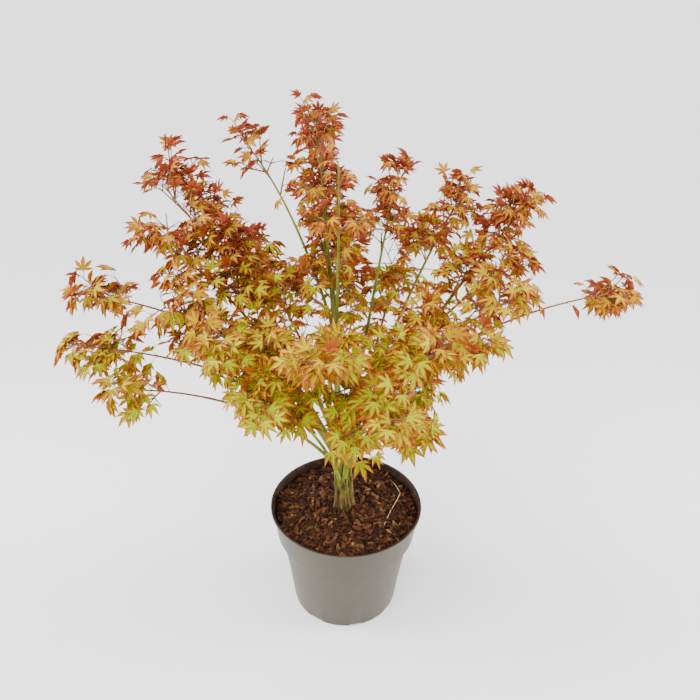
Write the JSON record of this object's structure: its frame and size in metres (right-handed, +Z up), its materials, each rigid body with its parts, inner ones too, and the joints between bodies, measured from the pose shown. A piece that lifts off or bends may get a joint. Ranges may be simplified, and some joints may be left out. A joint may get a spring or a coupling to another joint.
{
  "type": "potted japanese maple",
  "caption": "Young japanese maple shrub with many arching stems and small lobed autumn leaves, growing from mulched soil in a round tapered nursery pot.",
  "frame": {"origin": "centre of the pot's flat underside", "axes": "+Z up out of the pot; the crown's two longest sprays lie along X; -Y is the side that the best view is taken from"},
  "size_m": [0.6478, 0.4798, 0.6508],
  "materials": {
    "pot": "satin moulded taupe-grey plastic",
    "soil": "moist composted bark mulch",
    "bark": "young ribbed bark",
    "green_wood": "smooth green stems",
    "leaves": "thin satin leaves"
  },
  "bodies": {
    "root": {"pot": "pot", "soil": "soil", "trunk": "bark", "spire_bough": "green_wood", "spire_foliage": "leaves", "spire_left_bough": "green_wood", "spire_left_foliage": "leaves", "spire_right_bough": "green_wood", "spire_right_foliage": "leaves", "crest_left_bough": "green_wood", "crest_left_foliage": "leaves", "crest_right_bough": "green_wood", "crest_right_foliage": "leaves", "high_left_bough": "green_wood", "high_left_foliage": "leaves", "upper_left_bough": "green_wood", "upper_left_foliage": "leaves", "far_left_high_bough": "green_wood", "far_left_high_foliage": "leaves", "mid_left_bough": "green_wood", "mid_left_foliage": "leaves", "far_left_low_bough": "green_wood", "far_left_low_foliage": "leaves", "low_left_bough": "green_wood", "low_left_foliage": "leaves", "front_left_low_bough": "green_wood", "front_left_low_foliage": "leaves", "front_left_bough": "green_wood", "front_left_foliage": "leaves", "front_bough": "green_wood", "front_foliage": "leaves", "front_low_bough": "green_wood", "front_low_foliage": "leaves", "front_right_low_bough": "green_wood", "front_right_low_foliage": "leaves", "front_right_bough": "green_wood", "front_right_foliage": "leaves", "low_right_bough": "green_wood", "low_right_foliage": "leaves", "mid_right_bough": "green_wood", "mid_right_foliage": "leaves", "far_right_bough": "green_wood", "far_right_foliage": "leaves", "upper_right_bough": "green_wood", "upper_right_foliage": "leaves", "right_side_bough": "green_wood", "right_side_foliage": "leaves", "crest_far_right_bough": "green_wood", "crest_far_right_foliage": "leaves", "back_bough": "green_wood", "back_foliage": "leaves", "back_left_bough": "green_wood", "back_left_foliage": "leaves", "back_right_bough": "green_wood", "back_right_foliage": "leaves"}
  },
  "joints": []
}
